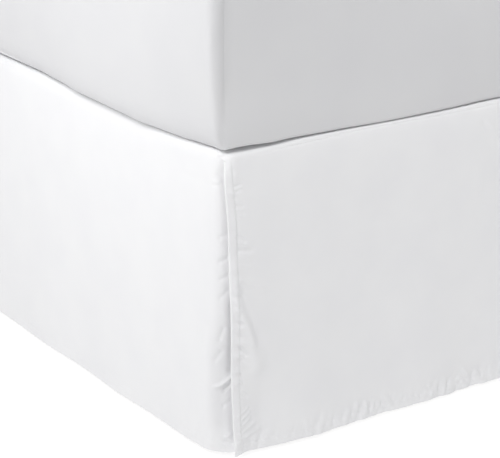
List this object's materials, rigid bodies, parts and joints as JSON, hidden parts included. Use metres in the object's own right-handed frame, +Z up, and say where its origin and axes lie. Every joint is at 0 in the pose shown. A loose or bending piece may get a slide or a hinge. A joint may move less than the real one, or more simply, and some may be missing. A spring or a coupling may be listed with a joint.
{
  "type": "bed skirt on a bed base with mattress",
  "caption": "Tailored white bed skirt with plain drops and split foot corners, hanging to just above the floor from a bed base on legs, held by the mattress on its deck.",
  "frame": {"origin": "on the floor, under the middle of the bed", "axes": "+X across the foot to the right, +Y from the foot to the head, +Z up"},
  "size_m": [1.5381, 2.0496, 0.6671],
  "materials": {
    "skirt_cloth": "matt, finely woven, white",
    "mattress_cover": "matt smooth knit, white",
    "base_cover": "matt woven",
    "leg_wood": "satin"
  },
  "bodies": {
    "root": {"deck": "skirt_cloth", "foot_drop": "skirt_cloth", "left_drop": "skirt_cloth", "right_drop": "skirt_cloth", "mattress": "mattress_cover", "bed_base": "base_cover", "leg_foot_left": "leg_wood", "leg_foot_right": "leg_wood", "leg_middle_left": "leg_wood", "leg_middle_right": "leg_wood", "leg_head_left": "leg_wood", "leg_head_right": "leg_wood"}
  },
  "joints": []
}
